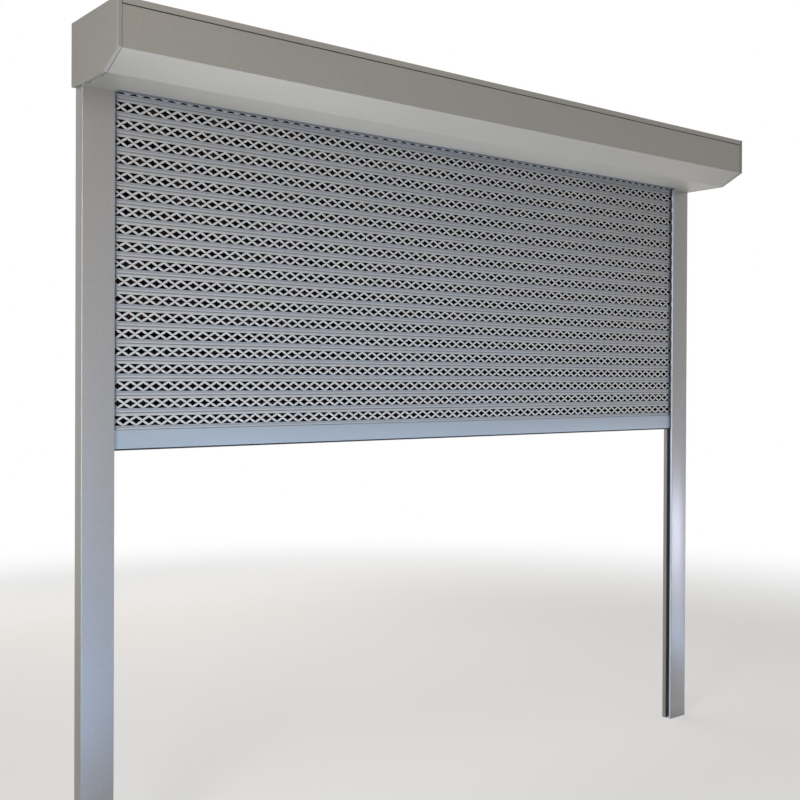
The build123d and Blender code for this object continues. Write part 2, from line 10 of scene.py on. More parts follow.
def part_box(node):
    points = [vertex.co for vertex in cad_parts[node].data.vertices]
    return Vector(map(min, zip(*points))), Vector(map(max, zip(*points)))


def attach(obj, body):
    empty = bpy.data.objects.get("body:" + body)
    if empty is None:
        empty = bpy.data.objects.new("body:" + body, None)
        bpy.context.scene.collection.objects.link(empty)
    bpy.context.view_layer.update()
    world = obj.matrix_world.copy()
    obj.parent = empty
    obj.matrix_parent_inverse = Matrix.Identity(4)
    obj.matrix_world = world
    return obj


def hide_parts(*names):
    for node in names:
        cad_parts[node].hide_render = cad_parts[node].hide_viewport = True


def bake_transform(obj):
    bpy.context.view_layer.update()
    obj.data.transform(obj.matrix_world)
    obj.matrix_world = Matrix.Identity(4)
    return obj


# Roller shutter door, half lowered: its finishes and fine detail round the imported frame.
# The dictionaries hold millimetres and degrees; the floor, the lamps and the camera are given in metres.
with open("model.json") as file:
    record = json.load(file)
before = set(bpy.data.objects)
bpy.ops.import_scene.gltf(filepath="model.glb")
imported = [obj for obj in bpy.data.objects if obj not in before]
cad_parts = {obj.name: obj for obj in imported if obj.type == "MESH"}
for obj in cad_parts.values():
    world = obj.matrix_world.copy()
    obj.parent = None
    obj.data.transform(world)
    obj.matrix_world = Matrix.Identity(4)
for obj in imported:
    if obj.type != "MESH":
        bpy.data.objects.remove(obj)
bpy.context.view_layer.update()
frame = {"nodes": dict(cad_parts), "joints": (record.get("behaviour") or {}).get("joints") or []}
nodes = frame["nodes"]
mm = 0.001
mergeWithin = 0.002 * mm                             # points nearer than this become one
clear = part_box("right_rail")[0].x / mm               # half the width between the rails
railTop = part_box("right_rail")[1].z
print("frame loaded with", len(nodes), "nodes")


def hexToLinear(code):
    # sRGB hex to the linear colour that the shaders want
    parts = [int(code[i:i + 2], 16) / 255 for i in (1, 3, 5)]
    return tuple(c / 12.92 if c <= 0.04045 else ((c + 0.055) / 1.055) ** 2.4 for c in parts) + (1.0,)


def addNode(tree, kind, inputs=None, **settings):
    # one node with its settings; an input is either a value or another node's socket
    node = tree.nodes.new(kind)
    for key, value in settings.items():
        setattr(node, key, value)
    for key, value in (inputs or {}).items():
        if isinstance(value, bpy.types.NodeSocket):
            tree.links.new(value, node.inputs[key])
        else:
            node.inputs[key].default_value = value
    return node


def startMaterial(name):
    material = bpy.data.materials.new(name)
    material.use_nodes = True
    tree = material.node_tree
    tree.nodes.clear()
    place = addNode(tree, "ShaderNodeTexCoord").outputs["Object"]
    return material, tree, place


def stretched(tree, place, sizes):
    # coordinates scaled so that one unit of a texture is the given size in mm along each axis
    scale = tuple(1 / (size * mm) for size in sizes)
    return addNode(tree, "ShaderNodeMapping", {"Vector": place, "Scale": scale}).outputs["Vector"]


def tinted(tree, factor, first, second):
    # a mix of two colours, each of them a hex value or another node's socket
    ends = [hexToLinear(end) if isinstance(end, str) else end for end in (first, second)]
    mixed = addNode(tree, "ShaderNodeMix", {"Factor": factor, 6: ends[0], 7: ends[1]}, data_type="RGBA")
    return mixed.outputs[2]


def endMaterial(tree, look, colour, rough, normal):
    inputs = {"Base Color": colour, "Metallic": look["metallic"], "Roughness": rough, "Normal": normal}
    for key in ("IOR", "Sheen Weight"):
        if key in look:
            inputs[key] = look[key]
    surface = addNode(tree, "ShaderNodeBsdfPrincipled", inputs)
    addNode(tree, "ShaderNodeOutputMaterial", {"Surface": surface.outputs[0]})


# where a noise runs from the dark tone to the light one, and where its drift runs from glossy to dull
speckleRange = (0.45, 1.2)
driftRange = (0.3, 0.7)


def doorFinish(name, look):
    # tone that drifts softly under fine flecks, gloss that drifts with it, and a fine relief
    material, tree, place = startMaterial(name)
    drift = addNode(tree, "ShaderNodeTexNoise", {
        "Vector": stretched(tree, place, look["driftMm"]), "Scale": 1.0, "Detail": 3.0, "Roughness": 0.55})
    flake = addNode(tree, "ShaderNodeTexNoise", {
        "Vector": stretched(tree, place, look["flakeMm"]), "Scale": 1.0, "Detail": 2.0, "Roughness": 0.7})
    speckle = addNode(tree, "ShaderNodeMath", {
        0: drift.outputs["Fac"], 1: flake.outputs["Fac"], 2: flake.outputs["Fac"]}, operation="MULTIPLY_ADD")
    spread = addNode(tree, "ShaderNodeMapRange", {
        "Value": speckle.outputs[0], "From Min": speckleRange[0], "From Max": speckleRange[1]})
    colour = tinted(tree, spread.outputs[0], look["dark"], look["light"])
    if "paintedShade" in look:
        # painted shade: the coat darkens in the valleys and joints, by a share stored on the mesh's points,
        # and beside the rails' brushes
        share = addNode(tree, "ShaderNodeAttribute", attribute_name="shadeShare")
        axes = addNode(tree, "ShaderNodeSeparateXYZ", {0: place})
        outward = addNode(tree, "ShaderNodeMath", {0: axes.outputs["X"]}, operation="ABSOLUTE")
        atBrush = addNode(tree, "ShaderNodeMapRange", {
            "Value": outward.outputs[0], "From Min": look["brushMm"][0] * mm,
            "From Max": look["brushMm"][1] * mm, "To Max": look["brushShade"]},
            interpolation_type="SMOOTHSTEP")
        either = addNode(tree, "ShaderNodeMath", {0: share.outputs["Fac"], 1: atBrush.outputs[0]},
                         operation="MAXIMUM")
        colour = tinted(tree, either.outputs[0], colour, look["paintedShade"])
    rough = addNode(tree, "ShaderNodeMapRange", {
        "Value": drift.outputs["Fac"], "From Min": driftRange[0], "From Max": driftRange[1],
        "To Min": look["rough"][0], "To Max": look["rough"][1]})
    peel = addNode(tree, "ShaderNodeTexNoise", {
        "Vector": stretched(tree, place, look["peelMm"]), "Scale": 1.0, "Detail": 2.0})
    bump = addNode(tree, "ShaderNodeBump", {
        "Height": peel.outputs["Fac"], "Strength": look["peel"], "Distance": look["peelDepth"] * mm})
    endMaterial(tree, look, colour, rough.outputs[0], bump.outputs[0])
    return material


# Silver-grey metallic powder coat on folded sheet: a soft, slightly warm satin grey with fine orange peel.
# The metal flake is about 0.1 mm and is drawn near 2 mm here and below, so that it shows.
coatedSheet = doorFinish("coatedSheetAluminium", {
    "dark": "#8f8a81", "light": "#a09b92", "metallic": 0.35, "rough": (0.40, 0.50),
    "driftMm": (900, 260, 260), "flakeMm": (2.2, 2.2, 2.2),
    "peelMm": (5, 5, 5), "peel": 0.10, "peelDepth": 0.4})

# The same coat on extruded rails: a little glossier, with drift and die lines drawn out along the height.
coatedRail = doorFinish("coatedRailAluminium", {
    "dark": "#8e8a86", "light": "#a19d98", "metallic": 0.45, "rough": (0.32, 0.42),
    "driftMm": (260, 260, 900), "flakeMm": (2.2, 2.2, 2.2),
    "peelMm": (4, 4, 40), "peel": 0.10, "peelDepth": 0.4})

# Slats: a paler, duller coat with faint die lines along the slat, and a painted shade colour that darkens
# the slats' valleys and joints into soft dark lines. Beside the rails' brushes the painted shade thickens
# between two distances from the doorway's middle.
coatedSlat = doorFinish("coatedSlatAluminium", {
    "dark": "#b4b1ab", "light": "#c9c5be", "paintedShade": "#474d56", "metallic": 0.20, "rough": (0.50, 0.60),
    "driftMm": (420, 60, 60), "flakeMm": (2.0, 2.0, 2.0),
    "peelMm": (90, 2.2, 2.2), "peel": 0.16, "peelDepth": 0.25,
    "brushMm": (clear - 16, clear - 8), "brushShade": 0.8})

# The bottom bar's coat: the same finish from a greyer, bluer batch, so the bar stands off from the slats.
coatedBar = doorFinish("coatedBarAluminium", {
    "dark": "#959b9d", "light": "#a6acaf", "metallic": 0.25, "rough": (0.42, 0.52),
    "driftMm": (420, 60, 60), "flakeMm": (2.0, 2.0, 2.0),
    "peelMm": (90, 2.2, 2.2), "peel": 0.12, "peelDepth": 0.25})

# A painted highlight on the rail's inner lip: a pale, bluish, nearly metallic coat that draws a thin bright
# line.
lipHighlightCoat = doorFinish("paintedLipHighlight", {
    "dark": "#a9b4c2", "light": "#c3cdd9", "metallic": 0.85, "rough": (0.34, 0.46),
    "driftMm": (30, 30, 260), "flakeMm": (2.0, 2.0, 6.0),
    "peelMm": (2, 2, 30), "peel": 0.12, "peelDepth": 0.2})

# Gravity-cast end caps under the same paint: a little rougher and more mottled than the sheet.
castCap = doorFinish("paintedCastAluminium", {
    "dark": "#8b8782", "light": "#9f9b95", "metallic": 0.30, "rough": (0.45, 0.58),
    "driftMm": (180, 180, 180), "flakeMm": (2.6, 2.6, 2.6),
    "peelMm": (3, 3, 3), "peel": 0.22, "peelDepth": 0.5})

# Moulded nylon: near black, dull, with a fine spark-eroded grain.
blackPlastic = doorFinish("mouldedBlackNylon", {
    "dark": "#17181a", "light": "#222326", "metallic": 0.0, "rough": (0.48, 0.60), "IOR": 1.53,
    "driftMm": (60, 60, 60), "flakeMm": (1.5, 1.5, 1.5),
    "peelMm": (1.5, 1.5, 1.5), "peel": 0.25, "peelDepth": 0.2})

# Extruded rubber and foam: black with a chalky bloom, almost no gloss.
blackRubber = doorFinish("extrudedBlackRubber", {
    "dark": "#141414", "light": "#232222", "metallic": 0.0, "rough": (0.72, 0.85), "IOR": 1.52,
    "driftMm": (300, 20, 20), "flakeMm": (3, 3, 3),
    "peelMm": (60, 2, 2), "peel": 0.2, "peelDepth": 0.3})

# Polypropylene pile of the brush strips: blue-black, with a soft sheen between the fibres.
brushPile = doorFinish("brushPileFibre", {
    "dark": "#101826", "light": "#26334a", "metallic": 0.0, "rough": (0.62, 0.78), "IOR": 1.49,
    "Sheen Weight": 0.25, "driftMm": (8, 8, 60), "flakeMm": (1, 1, 2),
    "peelMm": (0.8, 8, 0.8), "peel": 0.3, "peelDepth": 0.3})

# Galvanised steel of the winding tube: cool grey with large soft spangle.
zincSteel = doorFinish("galvanisedSteel", {
    "dark": "#8d9194", "light": "#b4b9bc", "metallic": 1.0, "rough": (0.36, 0.52),
    "driftMm": (25, 25, 25), "flakeMm": (6, 6, 6),
    "peelMm": (2, 2, 2), "peel": 0.1, "peelDepth": 0.2})

# Tempered strap and screw steel: darker and bluer than zinc.
springSteel = doorFinish("temperedSpringSteel", {
    "dark": "#50565e", "light": "#707780", "metallic": 1.0, "rough": (0.30, 0.40),
    "driftMm": (40, 40, 40), "flakeMm": (3, 3, 3),
    "peelMm": (20, 1, 1), "peel": 0.1, "peelDepth": 0.15})

# Ground bearing steel: bright, with fine turning marks.
brightSteel = doorFinish("groundBrightSteel", {
    "dark": "#a7a9ab", "light": "#c9cbcd", "metallic": 1.0, "rough": (0.20, 0.32),
    "driftMm": (30, 30, 30), "flakeMm": (2, 2, 2),
    "peelMm": (0.6, 0.6, 0.6), "peel": 0.08, "peelDepth": 0.1})

# Enamelled motor tube: dark grey gloss enamel.
motorEnamel = doorFinish("darkMotorEnamel", {
    "dark": "#2f3338", "light": "#3c4147", "metallic": 0.0, "rough": (0.28, 0.36), "IOR": 1.52,
    "driftMm": (80, 80, 80), "flakeMm": (2, 2, 2),
    "peelMm": (3, 3, 3), "peel": 0.12, "peelDepth": 0.2})
print("materials made:", len(bpy.data.materials))

# every node that isn't listed is a slat
finishOfNode = {
    "left_end_cap": castCap, "right_end_cap": castCap, "top_cover": coatedSheet, "front_cover": coatedSheet,
    "rear_cover": coatedSheet, "left_rail": coatedRail, "right_rail": coatedRail,
    "left_rail_cover": coatedRail, "right_rail_cover": coatedRail, "left_brush_seals": brushPile,
    "right_brush_seals": brushPile, "left_inlet_guide": blackPlastic, "right_inlet_guide": blackPlastic,
    "motor_body": motorEnamel, "motor_head": blackPlastic, "motor_bracket": zincSteel,
    "bearing_outer_ring": brightSteel, "bearing_inner_ring": brightSteel, "bearing_holder": blackPlastic,
    "cap_screws": brightSteel, "cable_grommet": blackRubber, "unwinding_slats": coatedSlat,
    "left_slat_clips": blackPlastic, "right_slat_clips": blackPlastic, "bottom_bar": coatedBar,
    "bottom_seal": blackRubber, "bar_plugs": blackPlastic, "winding_tube": zincSteel,
    "wound_slats": coatedSlat, "hanger_straps": springSteel, "drive_wheel": blackPlastic,
    "limit_crown": blackPlastic, "idler_plug": blackPlastic, "left_slot_closer": coatedSheet,
    "right_slot_closer": coatedSheet,
}
for nodeName, node in nodes.items():
    node.data.materials.clear()
    node.data.materials.append(finishOfNode.get(nodeName, coatedSlat))

# The castings' edges are eased, so each catches a thin light line
capLook = {"ease": 1.0, "steps": 2, "sharperThan": 50}
for side in ("left", "right"):
    ease = nodes[f"{side}_end_cap"].modifiers.new("easedEdges", "BEVEL")
    ease.width = capLook["ease"] * mm
    ease.segments = capLook["steps"]
    ease.limit_method = "ANGLE"
    ease.angle_limit = math.radians(capLook["sharperThan"])
    ease.use_clamp_overlap = True

creaseAngle = math.radians(30)                       # a piece is smooth up to this angle


def cleanMesh(name, verts, faces):
    # a mesh whose doubled points are merged and whose normals point outward
    mesh = bpy.data.meshes.new(name)
    mesh.from_pydata(verts, [], faces)
    shape = bmesh.new()
    shape.from_mesh(mesh)
    bmesh.ops.remove_doubles(shape, verts=shape.verts, dist=mergeWithin)
    bmesh.ops.recalc_face_normals(shape, faces=shape.faces)
    shape.to_mesh(mesh)
    shape.free()
    return mesh


def placeMesh(name, mesh, finish, body):
    # a piece from a mesh, riding on a body where one is named; meshes that pieces share are finished once
    if not mesh.materials:
        mesh.materials.append(finish)
        mesh.polygons.foreach_set("use_smooth", [True] * len(mesh.polygons))
        mesh.set_sharp_from_angle(angle=creaseAngle)
    piece = bpy.data.objects.new(name, mesh)
    bpy.context.scene.collection.objects.link(piece)
    if body:
        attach(piece, body)
    return piece


def makePiece(name, verts, faces, finish, body, slot):
    return placeMesh(name, cleanMesh(name, verts, faces), finish, body)


def roundCorners(points, radius, steps=3, sharp=()):
    # the outline with each corner turned into an arc; corners in sharp stay as they are
    nearlyStraight, mostOfSide = 0.02, 0.45
    out = []
    count = len(points)
    for i, point in enumerate(points):
        here = Vector(point)
        before = Vector(points[i - 1]) - here
        after = Vector(points[(i + 1) % count]) - here
        turn = before.angle(after) if before.length and after.length else math.pi
        if i in sharp or abs(turn - math.pi) < nearlyStraight:
            out.append(tuple(here))
            continue
        reach = min(radius / math.tan(turn / 2), mostOfSide * min(before.length, after.length))
        bow = reach * math.tan(turn / 2)
        centre = here + (before.normalized() + after.normalized()).normalized() * (bow / math.sin(turn / 2))
        first = here + before.normalized() * reach - centre
        last = here + after.normalized() * reach - centre
        for step in range(steps + 1):
            share = step / steps
            spoke = first.normalized() * (1 - share) + last.normalized() * share
            out.append(tuple(centre + spoke.normalized() * bow))
    return out


def prism(loops, ends, place):
    # closed solid between two ends from an outline and its holes; place(u, v, s) gives the point in space
    shape = bmesh.new()
    rims = []
    for s in ends:
        edges = []
        for loop in loops:
            ring = [shape.verts.new(place(u, v, s)) for u, v in loop]
            edges.append([shape.edges.new((ring[i - 1], ring[i])) for i in range(len(ring))])
            rims.append(ring)
        bmesh.ops.triangle_fill(shape, use_beauty=True, edges=[e for loop in edges for e in loop])
    for first, last in zip(rims[:len(loops)], rims[len(loops):]):
        for i in range(len(first)):
            shape.faces.new((first[i - 1], first[i], last[i], last[i - 1]))
    shape.verts.index_update()
    verts = [v.co[:] for v in shape.verts]
    faces = [[v.index for v in f.verts] for f in shape.faces]
    shape.free()
    return verts, faces


def alongX(u, v, s):
    return (s, u, v)


def alongZ(u, v, s):
    return (u, v, s)


def inMetres(line):
    return [(u * mm, v * mm) for u, v in line]


def joinParts(parts):
    # several lists of vertices and faces as one
    verts, faces = [], []
    for someVerts, someFaces in parts:
        base = len(verts)
        verts += someVerts
        faces += [[base + i for i in face] for face in someFaces]
    return verts, faces


# Slats: the plain bands of the section and the lattice of crossed bars between them
slatCount = 20
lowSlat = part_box("slat_01")
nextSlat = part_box("slat_02")
slatLook = {
    "half": lowSlat[1].x / mm,                       # half the curtain's width
    "pitch": (nextSlat[0].z - lowSlat[0].z) / mm,
    "thick": (lowSlat[1].y - lowSlat[0].y) / mm,
    "below": 28.8, "above": 25.8,                    # from a row's centre to the joints
    "wall": 1.3, "skin": 1.9,
    "gap": 0.4, "slack": 0.05,                       # between two slats, and between hook and channel
    "pattern": 15.6,                                 # half the lattice's height
    "cell": 44.0, "belly": 1.4,                      # crossing spacing, swell of a bar at its middle
    "tab": 6.0,                                      # least plain length at each end
    "apex": 3.7, "baseHalf": 20.0,                   # the three-sided openings, from the crossing's centre
    "tip": 3.0, "eyeHalf": 10.6,                     # the four-sided openings
    "bevel": 0.9, "bevelDepth": 0.75, "dish": 0.5, "dieBreak": 0.5, "steps": 4,
    # height and depth of the front's soft wave above and below the lattice
    "waveAbove": [(17.5, 0.15), (19.7, 0.75), (21.3, 1.15), (22.8, 1.3), (24.4, 1.0), (25.1, 1.3),
                  (25.8, 2.3)],
    "waveBelow": [(-28.8, 2.3), (-28.0, 1.0), (-27.0, 0.45), (-25.5, 0.5), (-23.5, 1.0), (-21.5, 1.3),
                  (-19.5, 1.15), (-17.2, 0.5)],
    # share of painted shade by height: most in the joints and in the valley below the lattice
    "paintedShade": [(-28.8, 0.80), (-28.0, 0.55), (-27.0, 0.20), (-25.5, 0.10), (-23.5, 0.26), (-21.5, 0.50),
             (-19.5, 0.60), (-17.2, 0.58), (-15.6, 0.45), (-12.0, 0.0), (17.5, 0.0), (21.3, 0.15),
             (22.8, 0.40), (24.4, 0.50), (25.8, 0.80)],
    "neck": 0.7, "head": 2.4, "headHeight": 3.4, "mouth": 1.3, "channel": 11.0, "flange": 8.4,
}
curtainY = (lowSlat[0].y + lowSlat[1].y) / 2
rowZ = [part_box(f"slat_{n:02d}")[0].z + slatLook["below"] * mm for n in range(1, slatCount + 1)]


def hookLine(top):
    # the hook that stands on an upper edge at this height and hangs in the channel above
    s = slatLook
    seat = top + s["gap"] + s["wall"] + s["slack"]
    crown = seat + s["headHeight"]
    return [(-s["neck"], top), (-s["neck"], seat), (-s["head"], seat), (-s["neck"], crown),
            (s["neck"], crown), (s["head"], seat), (s["neck"], seat), (s["neck"], top)]


def slatBands():
    # the two closed outlines of a slat's section: above the lattice with the hook, below it with the channel
    s = slatLook
    half = s["thick"] / 2
    inner = half - s["wall"]
    top, bottom, band = s["above"], -s["below"], s["pattern"]
    skin = half - s["skin"]
    upper = [
        (-half, band), *[(depth - half, z) for z, depth in s["waveAbove"]], *hookLine(top),
        (half, top), (half, top - s["flange"]), (inner, top - s["flange"]), (inner, top - s["wall"]),
        (-skin, top - s["wall"]), (-skin, band),
    ]
    lid = bottom + s["channel"]
    lower = [
        (-half, -band), (-skin, -band), (-skin, lid + s["wall"]), (half, lid + s["wall"]), (half, bottom),
        (s["mouth"], bottom), (s["mouth"], bottom + s["wall"]), (inner, bottom + s["wall"]), (inner, lid),
        (-skin, lid), (-skin, bottom + s["wall"]), (-s["mouth"], bottom + s["wall"]), (-s["mouth"], bottom),
        *[(depth - half, z) for z, depth in s["waveBelow"]],
    ]
    return upper, lower


def barEdges(inset):
    # the two long edges of a quarter crossing, from the crossing outwards, inset from the full bar
    s = slatLook
    across, up = s["cell"] / 2, s["pattern"]
    upper = math.atan2(up - s["apex"], s["baseHalf"])
    lower = math.atan2(s["eyeHalf"], across - s["tip"])
    upperStart = (0.0, s["apex"] - inset / math.cos(upper))
    upperEnd = (s["baseHalf"] + inset / math.sin(upper), up)
    lowerStart = (s["tip"] - inset / math.sin(lower), 0.0)
    lowerEnd = (across, s["eyeHalf"] + inset / math.cos(lower))
    edges = []
    for sign, slope, start, end in ((1, upper, upperStart, upperEnd), (-1, lower, lowerStart, lowerEnd)):
        side = (-math.sin(slope), math.cos(slope))
        edge = []
        for i in range(s["steps"] + 1):
            t = i / s["steps"]
            swell = sign * s["belly"] * 4 * t * (1 - t)
            edge.append((start[0] + (end[0] - start[0]) * t + side[0] * swell,
                         start[1] + (end[1] - start[1]) * t + side[1] * swell))
        edges.append(edge)
    return edges


def quarterCrossing(layers, middle, sx, sz, endsRow):
    # a quarter of one crossing through the sheet's thickness, closed at its far edge where it ends the row
    s = slatLook
    steps = s["steps"] + 1
    size = 2 * steps + 2
    front = layers[0][1]
    # the face sinks a little where the bars cross
    dips = [s["dish"] * max(0, 1 - 2 * i / s["steps"]) ** 2 for i in range(steps)]
    corner = [(0.0, 0.0), (s["cell"] / 2, s["pattern"])]
    verts, faces = [], []
    for (upperEdge, lowerEdge), depth in layers:
        sink = [*dips, *dips, s["dish"], 0] if depth == front else [0] * size
        for (u, v), dip in zip([*upperEdge, *lowerEdge, *corner], sink):
            verts.append((middle + sx * u, depth + dip, sz * v))
    # the numbers of the points on both edges, at the crossing and at the far corner, layer by layer
    starts = [layer * size for layer in range(len(layers))]
    upper = [range(start, start + steps) for start in starts]
    lower = [range(start + steps, start + 2 * steps) for start in starts]
    crossing = [start + 2 * steps for start in starts]
    far = [start + 2 * steps + 1 for start in starts]
    for layer in (0, 2):
        for i in range(steps - 1):
            faces.append([upper[layer][i], lower[layer][i], lower[layer][i + 1], upper[layer][i + 1]])
        faces.append([crossing[layer], lower[layer][0], upper[layer][0]])
        faces.append([far[layer], upper[layer][-1], lower[layer][-1]])
    for layer in (0, 1):
        for edge in (upper, lower):
            ahead, behind = edge[layer], edge[layer + 1]
            for i in range(steps - 1):
                faces.append([ahead[i], ahead[i + 1], behind[i + 1], behind[i]])
    # closed where the bar meets the band
    faces.append([far[0], *[edge[-1] for edge in upper], far[2]])
    if endsRow:
        faces.append([far[0], *[edge[-1] for edge in lower], far[2]])
    return verts, faces


def latticeParts(shift):
    # crossings side by side over the slat's width, and a plain tab at each end that hides in the rail
    s = slatLook
    front, back = -s["thick"] / 2, -s["thick"] / 2 + s["wall"]
    layers = [(barEdges(s["bevel"]), front), (barEdges(0), front + s["bevelDepth"]),
              (barEdges(s["dieBreak"]), back)]
    room = s["half"] - s["tab"] - s["cell"] / 2
    first = math.ceil((-room - shift) / s["cell"])
    last = math.floor((room - shift) / s["cell"])
    parts = []
    for number in range(first, last + 1):
        middle = shift + number * s["cell"]
        for sx, rowEnd in ((-1, first), (1, last)):
            parts += [quarterCrossing(layers, middle, sx, sz, number == rowEnd) for sz in (-1, 1)]
    for side, number in ((-1, first), (1, last)):
        inner = shift + number * s["cell"] + side * s["cell"] / 2
        band = [(front, -s["pattern"]), (front, s["pattern"]), (back, s["pattern"]), (back, -s["pattern"])]
        parts.append(prism([band], (inner, side * s["half"]), alongX))
    return parts


def shadeAt(z):
    # the painted shade share at a height, read off between the two nearest entries
    entries = slatLook["paintedShade"]
    for (lowZ, low), (highZ, high) in zip(entries, entries[1:]):
        if lowZ <= z <= highZ:
            return low + (high - low) * (z - lowZ) / (highZ - lowZ)
    return entries[-1][1]


# painted shade: each point's share of the darker colour, stored on the mesh
def addShade(mesh, shares):
    mesh.attributes.new("shadeShare", "FLOAT", "POINT").data.foreach_set("value", shares)


def slatMesh(name, shift):
    # one slat round its row's centre, with its lattice shifted along the slat
    half = slatLook["half"]
    parts = [prism([band], (-half, half), alongX) for band in slatBands()] + latticeParts(shift)
    verts, faces = joinParts(parts)
    mesh = cleanMesh(name, [(x * mm, y * mm, z * mm) for x, y, z in verts], faces)
    addShade(mesh, [shadeAt(v.co.z / mm) for v in mesh.vertices])
    return mesh


shifts = [11.5, 4.6, -1.7, -5.7, -12.9]              # the punching wanders a little from slat to slat
shiftOfRow = [4, 0, 0, 1, 1, 1, 1, 0, 0, 3, 3, 3, 3, 3, 2, 2, 2, 2, 2, 2]
slatMeshes = [slatMesh(f"slatWithLattice{i}", shift) for i, shift in enumerate(shifts)]
for number in range(1, slatCount + 1):
    slat = placeMesh(f"latticeSlat{number:02d}", slatMeshes[shiftOfRow[number - 1]], coatedSlat, None)
    slat.location = (0, curtainY, rowZ[number - 1])
    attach(slat, "curtain")
    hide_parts(f"slat_{number:02d}")
print("slats made:", len(rowZ), "with", len(slatMeshes[0].polygons), "faces each")

# Slats that leave the box as the curtain comes down: squeezed above the top row at rest, and at their true
# spacing when the door is closed. The blend moves a point by an S-curve share of the travel, so each point's
# rest height is solved from the height it has to reach.
payoutLook = {"rows": 25, "above": 1.0, "top": 2600.0, "halvings": 40}
travel = min(frame["joints"][0]["range_m"])
payoutHigh = payoutLook["top"] * mm
payoutLow = rowZ[-1] + slatLook["above"] * mm + payoutLook["above"] * mm


def restHeight(goal):
    low, high = 0.0, 1.0
    for halving in range(payoutLook["halvings"]):
        t = (low + high) / 2
        reached = payoutHigh - t * (payoutHigh - payoutLow) + travel * t * t * (3 - 2 * t)
        low, high = (t, high) if reached > goal else (low, t)
    return payoutHigh - (low + high) / 2 * (payoutHigh - payoutLow)


payoutParts = []
payoutShade = []
for row in range(1, payoutLook["rows"] + 1):
    mesh = slatMeshes[shiftOfRow[row % slatCount]]
    centre = rowZ[-1] + travel + row * slatLook["pitch"] * mm
    verts = []
    for v in mesh.vertices:
        goal = max(centre + v.co.z, payoutLow + travel)
        verts.append((v.co.x, curtainY + v.co.y, restHeight(goal)))
        # the same painted shade share as on the resting slats
        payoutShade.append(shadeAt(v.co.z / mm))
    payoutParts.append((verts, [list(p.vertices) for p in mesh.polygons]))
payoutVerts, payoutFaces = joinParts(payoutParts)
payoutMesh = bpy.data.meshes.new("slatsPayingOut")
payoutMesh.from_pydata(payoutVerts, [], payoutFaces)
addShade(payoutMesh, payoutShade)
payoutPiece = placeMesh("slatsPayingOut", payoutMesh, coatedSlat, None)
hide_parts("unwinding_slats")
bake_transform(payoutPiece)
print("slats that pay out:", payoutLook["rows"])

# Bottom bar: hollow, with eased lower edges, the slats' hook on top and an undercut groove for its seal
barLook = {"wall": 1.6, "ease": 1.6, "topEase": 0.9, "groove": 5.1, "grooveHeight": 2.1, "slot": 2.7}
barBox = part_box("bottom_bar")
yMid = curtainY / mm
barTop = rowZ[0] / mm - slatLook["below"] - slatLook["gap"]
barBottom = barBox[0].z / mm
barHalf = slatLook["thick"] / 2
wall = barLook["wall"]
shelf = barBottom + wall
grooveTop = shelf + barLook["grooveHeight"]
rearEdge = (barHalf, barBottom)
rightGroove = [(barLook["slot"] / 2, barBottom), (barLook["slot"] / 2, shelf),
               (barLook["groove"] / 2, shelf), (barLook["groove"] / 2, grooveTop)]
leftGroove = [(-u, v) for u, v in reversed(rightGroove)]
barOutline = [(-barHalf, barBottom), (-barHalf, barTop - barLook["topEase"]),
              (barLook["topEase"] - barHalf, barTop), *hookLine(barTop), (barHalf, barTop), rearEdge,
              *rightGroove, *leftGroove]
hollowHalf, hollowLow, hollowHigh = barHalf - wall, grooveTop + wall, barTop - wall
barHollow = [(-hollowHalf, hollowLow), (-hollowHalf, hollowHigh),
             (hollowHalf, hollowHigh), (hollowHalf, hollowLow)]
sharpPoints = set(range(1, len(barOutline))) - {barOutline.index(rearEdge)}
easedBar = roundCorners(barOutline, barLook["ease"], 3, sharp=sharpPoints)
barLoops = [inMetres((u + yMid, v) for u, v in loop) for loop in (easedBar, barHollow)]
bar = makePiece("bottomBar", *prism(barLoops, (barBox[0].x, barBox[1].x), alongX), coatedBar, "curtain",
                "slat_aluminium")
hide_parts("bottom_bar")

# Rubber seal in the bar's groove: a foot in the undercut, a neck through the slot and a bulb under the bar
sealLook = {"bulb": 4.1, "foot": 2.4, "neck": 1.25, "footHeight": 1.5, "ease": 1.5,
            "clear": 0.1, "under": 0.02}             # gaps over the groove's floor and under the bar
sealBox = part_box("bottom_seal")
sealLow = sealBox[0].z / mm
sealTop = barBottom - sealLook["under"]
footLow = shelf + sealLook["clear"]
footTop = footLow + sealLook["footHeight"]
bulb, foot, neck = sealLook["bulb"], sealLook["foot"], sealLook["neck"]
sealLine = [(-bulb, sealTop), (-bulb, sealLow), (bulb, sealLow), (bulb, sealTop),
            (neck, sealTop), (neck, footLow), (foot, footLow), (foot, footTop),
            (-foot, footTop), (-foot, footLow), (-neck, footLow), (-neck, sealTop)]
sealLoop = roundCorners(sealLine, sealLook["ease"], 3, sharp={0, *range(3, len(sealLine))})
sealShape = prism([inMetres((u + yMid, v) for u, v in sealLoop)], (sealBox[0].x, sealBox[1].x), alongX)
seal = makePiece("doorSeal", *sealShape, blackRubber, "curtain", "black_rubber")
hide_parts("bottom_seal")
print("bottom bar and seal made, seal", round(barBottom - sealLow, 2), "mm below the bar")


def shiftedLine(points, by):
    # a line moved sideways by a distance, with its corners mitred
    moved = []
    for i, point in enumerate(points):
        sides = []
        for start, end in ((i - 1, i), (i, i + 1)):
            if start >= 0 and end < len(points):
                way = (points[end] - points[start]).normalized()
                sides.append(Vector((-way.y, way.x)))
        bisector = sum(sides, Vector((0, 0))).normalized()
        moved.append(point + bisector * by / bisector.dot(sides[0]))
    return moved


